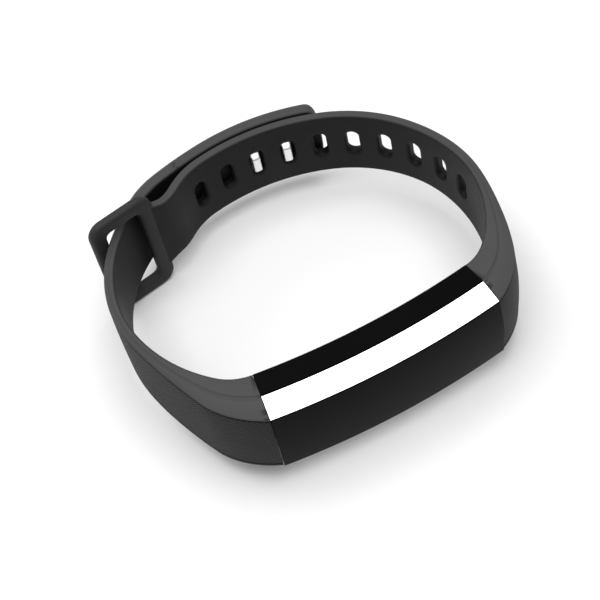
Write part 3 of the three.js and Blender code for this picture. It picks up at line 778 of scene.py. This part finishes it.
def make_sensor_window(radius=4.6):
    """A low dome turned about the case's outward line: its height falls as the square of the radius."""
    share = np.linspace(0, 1, 14)
    dome = np.stack([(radius - 0.25) * share, -0.6 + 0.5 * share**2.2], -1)
    turn = np.linspace(0, np.pi / 2, 5)[1:]
    edge = np.stack([radius - 0.25 + 0.25 * np.sin(turn), -0.1 + 0.25 * (1 - np.cos(turn))], -1)
    wall = np.array([(radius, 1.0), (0.0, 1.0)])
    profile = np.concatenate([dome, edge, wall])
    around = np.linspace(0, 2 * np.pi, 64, endpoint=False)[None, :]
    reach = profile[:, :1]
    points = np.stack([
        CASE_MIDDLE + reach * np.cos(around),
        np.repeat(profile[:, 1:], 64, 1),
        MID_Z + reach * np.sin(around),
    ], -1)
    shell = Shell(CASE)
    shell.grid(points, closed=True)
    return shell.build("sensor_lens", 50)


# ---- Materials ----


def put(tree, kind, values=None, **settings):
    """A node with its settings, whose inputs take numbers, colours or other nodes' sockets."""
    node = tree.nodes.new(kind)
    for key, value in settings.items():
        setattr(node, key, value)
    for key, value in (values or {}).items():
        if isinstance(value, bpy.types.NodeSocket):
            tree.links.new(value, node.inputs[key])
        else:
            node.inputs[key].default_value = value
    return node


def math_node(tree, operation, a, b=0.0):
    return put(tree, "ShaderNodeMath", {0: a, 1: b}, operation=operation).outputs[0]


def new_group(name, inputs, outputs):
    """An empty shader group with its sockets; returns the tree and its input and output nodes."""
    tree = bpy.data.node_groups.new(name, "ShaderNodeTree")
    for socket_name, kind, value in inputs:
        socket = tree.interface.new_socket(socket_name, in_out="INPUT", socket_type=kind)
        if value is not None:
            socket.default_value = value
    for socket_name, kind in outputs:
        tree.interface.new_socket(socket_name, in_out="OUTPUT", socket_type=kind)
    return tree, tree.nodes.new("NodeGroupInput"), tree.nodes.new("NodeGroupOutput")


def grain_group():
    """Fine grain and slow tone changes: Height and Tone, both from 0 to 1."""
    tree, given, out = new_group(
        "Fine grain",
        [("Vector", "NodeSocketVector", None), ("Scale", "NodeSocketFloat", 3000.0),
         ("Slow Scale", "NodeSocketFloat", 60.0)],
        [("Height", "NodeSocketFloat"), ("Tone", "NodeSocketFloat")])
    fine = put(tree, "ShaderNodeTexNoise", {
        "Vector": given.outputs["Vector"], "Scale": given.outputs["Scale"], "Detail": 3.0, "Roughness": 0.6})
    slow = put(tree, "ShaderNodeTexNoise", {
        "Vector": given.outputs["Vector"], "Scale": given.outputs["Slow Scale"], "Detail": 4.0})
    spread = put(tree, "ShaderNodeMapRange", {
        "Value": slow.outputs[0], "From Min": 0.3, "From Max": 0.7, "To Min": 0.0, "To Max": 1.0})
    tree.links.new(fine.outputs[0], out.inputs["Height"])
    tree.links.new(spread.outputs[0], out.inputs["Tone"])
    return tree


def mesh_group():
    """A raised diagonal mesh of the given pitch: Height is 1 on the middle of each diamond, 0 between."""
    tree, given, out = new_group(
        "Raised mesh",
        [("Vector", "NodeSocketVector", None), ("Pitch", "NodeSocketFloat", 0.0006)],
        [("Height", "NodeSocketFloat")])
    split = put(tree, "ShaderNodeSeparateXYZ", {0: given.outputs["Vector"]})
    turn = math_node(tree, "DIVIDE", math.pi, given.outputs["Pitch"])
    waves = []
    for operation in ("ADD", "SUBTRACT"):
        across = math_node(tree, operation, split.outputs[0], split.outputs[1])
        wave = math_node(tree, "SINE", math_node(tree, "MULTIPLY", across, turn))
        waves.append(math_node(tree, "ABSOLUTE", wave))
    product = math_node(tree, "MULTIPLY", *waves)
    tree.links.new(math_node(tree, "POWER", product, 0.6), out.inputs["Height"])
    return tree


def marks_group():
    """Faint handling marks: long thin scratches and soft smudges, as Marks from 0 to 1."""
    tree, given, out = new_group(
        "Handling marks",
        [("Vector", "NodeSocketVector", None), ("Scale", "NodeSocketFloat", 90.0)],
        [("Marks", "NodeSocketFloat")])
    stretch = put(tree, "ShaderNodeMapping", {
        "Vector": given.outputs["Vector"], "Scale": (0.25, 3.0, 1.0), "Rotation": (0.0, 0.0, 0.5)})
    lines = put(tree, "ShaderNodeTexNoise", {
        "Vector": stretch.outputs[0], "Scale": given.outputs["Scale"], "Detail": 5.0, "Roughness": 0.7})
    smudge = put(tree, "ShaderNodeTexNoise", {
        "Vector": given.outputs["Vector"], "Scale": 45.0, "Detail": 2.0})
    mixed = math_node(tree, "MULTIPLY", lines.outputs[0], smudge.outputs[0])
    spread = put(tree, "ShaderNodeMapRange", {
        "Value": mixed, "From Min": 0.15, "From Max": 0.45, "To Min": 0.0, "To Max": 1.0})
    tree.links.new(spread.outputs[0], out.inputs["Marks"])
    return tree


def use_group(tree, group, values):
    return put(tree, "ShaderNodeGroup", values, node_tree=group)


def new_material(name, **sockets):
    """A material with a Principled BSDF, whose uniform values are set on its own sockets."""
    material = bpy.data.materials.new(name)
    material.use_nodes = True
    tree = material.node_tree
    shader = tree.nodes["Principled BSDF"]
    for key, value in sockets.items():
        shader.inputs[key.replace("_", " ")].default_value = value
    return material, tree, shader


def attribute(tree, name):
    return put(tree, "ShaderNodeAttribute", attribute_name=name, attribute_type="GEOMETRY")


def place_vector(tree):
    return attribute(tree, "place").outputs["Vector"]


def object_vector(tree):
    return put(tree, "ShaderNodeTexCoord").outputs["Object"]


def mix_colors(tree, factor, first, second):
    """A colour between two, by a factor that changes over the surface."""
    node = put(tree, "ShaderNodeMix", data_type="RGBA")
    tree.links.new(factor, node.inputs["Factor"])
    for index, color in ((6, first), (7, second)):
        node.inputs[index].default_value = (*color, 1.0)
    return node.outputs[2]


def ranged(tree, value, low, high):
    return put(tree, "ShaderNodeMapRange", {"Value": value, "To Min": low, "To Max": high}).outputs[0]


def bumped(tree, shader, height, depth_mm):
    """Turns a height into the shader's normal; depth_mm is how deep the height is in reality."""
    bump = put(tree, "ShaderNodeBump", {"Height": height, "Strength": 1.0, "Distance": depth_mm * MM})
    tree.links.new(bump.outputs[0], shader.inputs["Normal"])


def grained_material(name, group, dark, light, roughness, depth_mm, scale=3000.0, slow=60.0,
                     **sockets):
    """A plain finish with fine grain: two close tones, a small range of roughness and a shallow bump."""
    material, tree, shader = new_material(name, **sockets)
    grain = use_group(tree, group, {"Vector": object_vector(tree), "Scale": scale, "Slow Scale": slow})
    tree.links.new(mix_colors(tree, grain.outputs["Tone"], dark, light), shader.inputs["Base Color"])
    tree.links.new(ranged(tree, grain.outputs["Tone"], *roughness), shader.inputs["Roughness"])
    bumped(tree, shader, grain.outputs["Height"], depth_mm)
    return material


def painted_light_rubber_material(name, grain, dark, light, roughness, depth_mm, **sockets):
    """Rubber with fine grain, whose colour goes from dark to light with the tone attribute, which paints
    light on the strap edges and shade on the faces.
    """
    material, tree, shader = new_material(name, **sockets)
    fine = use_group(tree, grain, {"Vector": place_vector(tree)})
    tone_and_painted_light = attribute(tree, "tone_and_painted_light").outputs["Fac"]
    # Painted light and shade from the tone attribute, varied by the grain's tone
    painted_light_and_grain = math_node(tree, "MULTIPLY", tone_and_painted_light, ranged(tree, fine.outputs["Tone"], 0.8, 1.0))
    tree.links.new(mix_colors(tree, painted_light_and_grain, dark, light), shader.inputs["Base Color"])
    tree.links.new(ranged(tree, fine.outputs["Tone"], *roughness), shader.inputs["Roughness"])
    bumped(tree, shader, fine.outputs["Height"], depth_mm)
    return material


def skin_material(grain, mesh, dark, light):
    """Rubber with a fine raised mesh: the valleys are painted darker as shade and are rougher than the
    diamonds.
    """
    material, tree, shader = new_material("Mesh skin", Specular_IOR_Level=0.2)
    vector = place_vector(tree)
    raised = use_group(tree, mesh, {"Vector": vector, "Pitch": 0.62 * MM}).outputs["Height"]
    fine = use_group(tree, grain, {"Vector": vector, "Scale": 2600.0, "Slow Scale": 90.0})
    # Painted shade in the mesh's valleys, varied by the grain's tone
    valley_shade_and_grain = math_node(tree, "MULTIPLY", raised, ranged(tree, fine.outputs["Tone"], 0.55, 1.0))
    tree.links.new(mix_colors(tree, valley_shade_and_grain, dark, light), shader.inputs["Base Color"])
    tree.links.new(ranged(tree, raised, 0.8, 0.5), shader.inputs["Roughness"])
    height = math_node(tree, "ADD", raised, math_node(tree, "MULTIPLY", fine.outputs["Height"], 0.35))
    bumped(tree, shader, height, 0.07)
    return material


def marked_material(name, grain, marks, dark, light, roughness, **sockets):
    """A glossy or polished finish whose roughness follows faint handling marks."""
    material, tree, shader = new_material(name, **sockets)
    vector = object_vector(tree)
    mark = use_group(tree, marks, {"Vector": vector}).outputs["Marks"]
    tone_and_painted_light = use_group(tree, grain, {"Vector": vector, "Scale": 1500.0}).outputs["Tone"]
    tree.links.new(mix_colors(tree, tone_and_painted_light, dark, light), shader.inputs["Base Color"])
    tree.links.new(ranged(tree, mark, *roughness), shader.inputs["Roughness"])
    return material


def board_material(grain):
    """A circuit board: green mask, with copper tracks that follow the cells of a stepped pattern."""
    material, tree, shader = new_material("Circuit board", Specular_IOR_Level=0.5)
    vector = object_vector(tree)
    tracks = put(tree, "ShaderNodeTexBrick", {
        "Vector": vector, "Scale": 700.0, "Mortar Size": 0.03,
        "Color1": (0.012, 0.09, 0.045, 1), "Color2": (0.016, 0.12, 0.06, 1), "Mortar": (0.05, 0.2, 0.09, 1)})
    fine = use_group(tree, grain, {"Vector": vector, "Scale": 2500.0})
    tree.links.new(tracks.outputs["Color"], shader.inputs["Base Color"])
    tree.links.new(ranged(tree, fine.outputs["Tone"], 0.35, 0.5), shader.inputs["Roughness"])
    bumped(tree, shader, tracks.outputs["Fac"], 0.02)
    return material


def scaled(color, factor):
    return tuple(min(1.0, channel * factor) for channel in color)


# Name, darker and lighter colour, range of roughness, depth of the bump in mm, and other sockets
PLAIN_FINISHES = {
    "lens": ("Smoked lens", (0.02, 0.022, 0.025), (0.03, 0.032, 0.035), (0.04, 0.08), 0.001,
             {"Transmission_Weight": 0.7}),
    "foam": ("Foam rubber", (0.012, 0.012, 0.012), (0.02, 0.02, 0.02), (0.8, 0.95), 0.05, {"scale": 4000.0}),
    "chip": ("Chip package", (0.014, 0.014, 0.016), (0.022, 0.022, 0.024), (0.45, 0.6), 0.01, {}),
    "foil": ("Metal foil", (0.62, 0.62, 0.63), (0.74, 0.74, 0.75), (0.28, 0.45), 0.02,
             {"scale": 900.0, "Metallic": 1.0}),
    "panel": ("Display panel", (0.03, 0.032, 0.036), (0.045, 0.047, 0.052), (0.1, 0.18), 0.001, {}),
    "led": ("Green resin", (0.2, 0.62, 0.3), (0.3, 0.78, 0.4), (0.1, 0.2), 0.002, {}),
    "film": ("Amber film", (0.45, 0.2, 0.03), (0.6, 0.3, 0.06), (0.25, 0.35), 0.002, {}),
    "red": ("Red insulation", (0.45, 0.02, 0.02), (0.55, 0.035, 0.03), (0.4, 0.5), 0.004, {}),
    "black": ("Black insulation", (0.015, 0.015, 0.015), (0.022, 0.022, 0.022), (0.4, 0.5), 0.004, {}),
}


class Materials:
    """Every finish of the band, built once."""

    def __init__(self, sizes):
        grain, mesh, marks = grain_group(), mesh_group(), marks_group()
        silicone, skin = tuple(sizes.silicone), tuple(sizes.skin)
        # Silicone: its dark end, a tenth of the colour, is painted shade on the straps' faces, and its full
        # colour painted light on their edges
        self.silicone = painted_light_rubber_material(
            "Silicone", grain, scaled(silicone, 0.1), silicone, (0.52, 0.64), 0.012, Specular_IOR_Level=0.2)
        # The skin's darker colour is the painted shade in its mesh's valleys
        self.skin = skin_material(grain, mesh, scaled(skin, 0.45), scaled(skin, 1.25))
        self.case = grained_material(
            "Satin case", grain, scaled(sizes.case, 0.85), scaled(sizes.case, 1.15), (0.34, 0.42), 0.004,
            scale=5000.0, Specular_IOR_Level=0.03)
        self.glass = marked_material(
            "Cover glass", grain, marks, (0.002, 0.002, 0.0022), (0.003, 0.003, 0.0033), (0.05, 0.1),
            Specular_IOR_Level=0.05)
        self.chrome = marked_material(
            "Bright plating", grain, marks, (0.93, 0.93, 0.94), (0.97, 0.97, 0.97), (0.07, 0.14),
            Metallic=1.0)
        self.steel = marked_material(
            "Satin steel", grain, marks, (0.84, 0.84, 0.85), (0.92, 0.92, 0.92), (0.3, 0.42), Metallic=1.0)
        self.gold = marked_material(
            "Gold plating", grain, marks, (0.78, 0.56, 0.2), (0.88, 0.66, 0.28), (0.16, 0.3), Metallic=1.0)
        self.board = board_material(grain)
        for key, (name, dark, light, roughness, depth_mm, sockets) in PLAIN_FINISHES.items():
            setattr(self, key, grained_material(name, grain, dark, light, roughness, depth_mm, **sockets))


_materials = None


def finishes():
    """The band's materials, built the first time that a piece asks for them."""
    global _materials
    if _materials is None:
        _materials = Materials(bpy.context.scene.band_finishes)
    return _materials


# ---- Settings ----


def length_setting(name, description, millimetres):
    return FloatProperty(name=name, description=description, default=millimetres * MM, unit="LENGTH")


class BandRingSettings(bpy.types.PropertyGroup):
    length: length_setting("Length", "Keeper ring's outer length", 14.8)
    height: length_setting("Height", "Keeper ring's outer height", 26.0)
    bar: length_setting("Bar", "Width of its upright bars", 3.4)
    arm: length_setting("Arm", "Width of its cross arms", 3.3)
    corner: length_setting("Corner", "Outer corner radius", 3.2)


class BandFinishSettings(bpy.types.PropertyGroup):
    # The lit colour of the straps' edges, which is painted light; the faces take a tenth of it as painted
    # shade
    silicone: FloatVectorProperty(
        name="Silicone", description="Colour of the straps", subtype="COLOR", default=(0.06, 0.06, 0.061))
    skin: FloatVectorProperty(
        name="Skin", description="Colour of the raised mesh", subtype="COLOR", default=(0.015, 0.015, 0.0154))
    case: FloatVectorProperty(
        name="Case", description="Colour of the case", subtype="COLOR", default=(0.002, 0.002, 0.0021))
    floor: FloatVectorProperty(
        name="Floor", description="Colour of the floor", subtype="COLOR", default=(0.9, 0.9, 0.9))


# ---- Operators ----


def blend_across(piece):
    """Bakes a piece's placement into its mesh."""
    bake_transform(piece)


def add_studded_pair(name, material, slot, profile, crown=None, node_end=""):
    """The studded strap, or its skin, as two pieces that meet in the middle of the tail's first link."""
    root = make_studded_piece(f"{name}_body", STRAP_START, LINK_MIDDLE, profile, crown)
    tail = make_studded_piece(f"{name}_tail", LINK_MIDDLE, TAIL_END, profile, crown)
    finish_piece(root, material, slot, None, f"studded_strap{node_end}", f"tail_middle{node_end}")
    finish_piece(tail, material, slot, None, f"tail_tip{node_end}")
    blend_across(root)
    blend_across(tail)


class BAND_OT_straps(bpy.types.Operator):
    """Build both straps, the studded one as two pieces that meet in its tail's first link"""
    bl_idname = "band.straps"
    bl_label = "Straps"

    def execute(self, context):
        look = finishes()
        finish_piece(make_slotted_strap(), look.silicone, "silicone", "band", "holed_strap")
        add_studded_pair("studded_strap", look.silicone, "silicone", edge_profile)
        return {"FINISHED"}


class BAND_OT_skins(bpy.types.Operator):
    """Build the straps' outer skins with their raised mesh"""
    bl_idname = "band.skins"
    bl_label = "Skins"

    def execute(self, context):
        look = finishes()
        finish_piece(make_slotted_skin(), look.skin, "skin_black", "band", "holed_strap_skin")
        add_studded_pair("studded_skin", look.skin, "skin_black", skin_profile, skin_crown, "_skin")
        return {"FINISHED"}


class BAND_OT_ring(bpy.types.Operator):
    """Build the keeper ring on the slotted strap's end"""
    bl_idname = "band.ring"
    bl_label = "Keeper ring"

    def execute(self, context):
        sizes = context.scene.band_ring
        ring = make_keeper_ring(*(value / MM for value in (
            sizes.length, sizes.height, sizes.bar, sizes.arm, sizes.corner)))
        finish_piece(ring, finishes().silicone, "silicone", "band")
        return {"FINISHED"}


class BAND_OT_studs(bpy.types.Operator):
    """Build the two steel studs and dress their anchor plate"""
    bl_idname = "band.studs"
    bl_label = "Studs"

    def execute(self, context):
        look = finishes()
        for number, slot_index in enumerate(STUD_SLOTS, 1):
            s = across_from(FIRST_SLOT - slot_index * SLOT_PITCH) - STUD_LEAD
            stud = make_stud(f"steel_stud_{number}", s)
            finish_piece(stud, look.steel, "steel", "tail_end", f"stud_{number}")
        dress(["stud_plate"], look.steel)
        return {"FINISHED"}


def dress(names, material):
    """Gives CAD nodes that stay as they are a material."""
    for name in names:
        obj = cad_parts[name]
        obj.data.materials.clear()
        obj.data.materials.append(material)


class BAND_OT_case(bpy.types.Operator):
    """Build the case: shell, rear cover, bright trims, front glass and sensor lens"""
    bl_idname = "band.case"
    bl_label = "Case"

    def execute(self, context):
        look = finishes()
        finish_piece(refined("housing", "case_shell", 0.14), look.case, "case_black", "band", "housing")
        finish_piece(refined("rear_cover", "rear_plate", 0.1), look.case, "case_black", "band", "rear_cover")
        for name, upper in (("trim_lower", False), ("trim_upper", True)):
            strip = make_case_bar(f"bright_{name}", trim_section(upper))
            finish_piece(strip, look.chrome, "bright_trim", "band", name)
        glass = make_case_bar("domed_glass", glass_section())
        finish_piece(glass, look.glass, "glass_black", "band", "front_glass")
        finish_piece(make_sensor_window(), look.lens, "window_clear", "band", "sensor_window")
        dress(["charge_contact_1", "charge_contact_2"], look.gold)
        dress([f"cover_screw_{n}" for n in range(1, 5)] + ["strap_pin_left", "strap_pin_right"], look.steel)
        dress(["rear_gasket"], look.foam)
        return {"FINISHED"}


INSIDE = {
    "foam": ["sensor_shield", "battery_pad"],
    "led": ["sensor_led_left", "sensor_led_right"],
    "panel": ["photodiode", "display_panel"],
    "board": ["sensor_board", "main_board"],
    "foil": ["battery", "motor_weight"],
    "chip": ["radio_processor", "memory_chip", "motion_sensor"],
    "gold": ["antenna"],
    "lens": ["touch_film"],
    "film": ["display_flex"],
    "red": ["battery_lead_positive"],
    "black": ["battery_lead_negative"],
    "steel": ["motor_can", "motor_shaft"],
}


class BAND_OT_inside(bpy.types.Operator):
    """Give the pieces inside the case their finishes"""
    bl_idname = "band.inside"
    bl_label = "Inside"

    def execute(self, context):
        look = finishes()
        for finish, names in INSIDE.items():
            dress(names, getattr(look, finish))
        return {"FINISHED"}


class BAND_OT_stage(bpy.types.Operator):
    """Build the floor, the lights and the camera"""
    bl_idname = "band.stage"
    bl_label = "Stage"

    def execute(self, context):
        make_floor(context.scene.band_finishes.floor)
        make_lights()
        make_camera()
        return {"FINISHED"}


FLOOR_HALF = 3.0  # metres
FLOOR_STEPS = 9


def make_floor(color):
    """A flat square floor, with a soft mottle of two close tones."""
    steps = np.linspace(-FLOOR_HALF, FLOOR_HALF, FLOOR_STEPS)
    x, y = np.meshgrid(steps, steps, indexing="ij")
    points = np.stack([x, y, np.zeros_like(x)], -1).reshape(-1, 3)
    index = np.arange(FLOOR_STEPS**2).reshape(FLOOR_STEPS, FLOOR_STEPS)
    mesh = bpy.data.meshes.new("floor")
    mesh.from_pydata(points.tolist(), [], quads(index))
    floor = add_object("floor", mesh)
    group = bpy.data.node_groups["Fine grain"]
    mesh.materials.append(grained_material(
        "Pale floor", group, scaled(color, 0.99), scaled(color, 1.01), (0.85, 0.95), 0.01, slow=4.0,
        Specular_IOR_Level=0.1))


def area_light(name, location, target, size, power):
    data = bpy.data.lights.new(name, "AREA")
    data.shape = "RECTANGLE"
    data.size, data.size_y = size
    data.energy = power
    light = add_object(name, data)
    light.location = location
    light.rotation_euler = (Vector(target) - Vector(location)).to_track_quat("-Z", "Y").to_euler()


def make_lights():
    """One wide light overhead, a lower one behind, and an even pale surround."""
    bpy.context.scene.view_settings.view_transform = "Standard"
    area_light("Overhead", (0.0, -0.05, 0.75), (0, 0, 0), (0.8, 0.8), 6.0)
    area_light("Behind", (-0.25, 0.6, 0.45), (0, 0, 0.01), (0.5, 0.3), 1.0)
    world = bpy.data.worlds.new("Studio")
    bpy.context.scene.world = world
    world.use_nodes = True
    background = world.node_tree.nodes["Background"]
    background.inputs["Color"].default_value = (0.95, 0.95, 0.95, 1)
    background.inputs["Strength"].default_value = 0.45


# The camera: degrees round from -Y, up from the floor, and tilt about its own line of sight
CAMERA_AZIMUTH, CAMERA_HEIGHT, CAMERA_ROLL = -17.352, 52.424, -13.19
CAMERA_PLACE = (-54.41, -154.22, 237.90)  # from the middle of the case's lower wrist-side edge
CAMERA_LENS = 89.38
CAMERA_SHIFT = (-0.0461, 0.0165)


def make_camera():
    """A camera whose axes are worked out from its azimuth, height and roll."""
    az, height, roll = (math.radians(v) for v in (CAMERA_AZIMUTH, CAMERA_HEIGHT, CAMERA_ROLL))
    back = Vector((math.sin(az) * math.cos(height), -math.cos(az) * math.cos(height), math.sin(height)))
    right = (-back).cross(Vector((0, 0, 1))).normalized()
    up = right.cross(-back)
    x_axis = right * math.cos(roll) + up * math.sin(roll)
    y_axis = up * math.cos(roll) - right * math.sin(roll)
    matrix = Matrix((x_axis, y_axis, back)).transposed().to_4x4()
    matrix.translation = Vector(CAMERA_PLACE) * MM + Vector(SHIFT)
    data = bpy.data.cameras.new("Camera")
    data.lens = CAMERA_LENS
    data.sensor_width = 36.0
    data.shift_x, data.shift_y = CAMERA_SHIFT
    data.clip_start = 0.01
    camera = add_object("Camera", data)
    camera.matrix_world = matrix
    bpy.context.scene.camera = camera


class BAND_PT_panel(bpy.types.Panel):
    """The band's pieces and their sizes"""
    bl_idname = "BAND_PT_panel"
    bl_label = "Wrist fitness band"
    bl_space_type = "VIEW_3D"
    bl_region_type = "UI"
    bl_category = "Band"

    def draw(self, context):
        for settings in (context.scene.band_ring, context.scene.band_finishes):
            box = self.layout.box()
            for key in settings.__annotations__:
                box.prop(settings, key)
        for operator in OPERATORS:
            self.layout.operator(operator.bl_idname)


OPERATORS = (
    BAND_OT_case, BAND_OT_inside, BAND_OT_straps, BAND_OT_skins, BAND_OT_ring, BAND_OT_studs, BAND_OT_stage)
CLASSES = (BandRingSettings, BandFinishSettings) + OPERATORS + (BAND_PT_panel,)


def register():
    for cls in CLASSES:
        bpy.utils.register_class(cls)
    bpy.types.Scene.band_ring = PointerProperty(type=BandRingSettings)
    bpy.types.Scene.band_finishes = PointerProperty(type=BandFinishSettings)


def unregister():
    del bpy.types.Scene.band_finishes
    del bpy.types.Scene.band_ring
    for cls in reversed(CLASSES):
        bpy.utils.unregister_class(cls)


def main():
    """Builds every group in order."""
    register()
    bpy.ops.band.case()
    bpy.ops.band.inside()
    bpy.ops.band.straps()
    bpy.ops.band.skins()
    bpy.ops.band.ring()
    bpy.ops.band.studs()
    bpy.ops.band.stage()


if __name__ == "__main__":
    main()
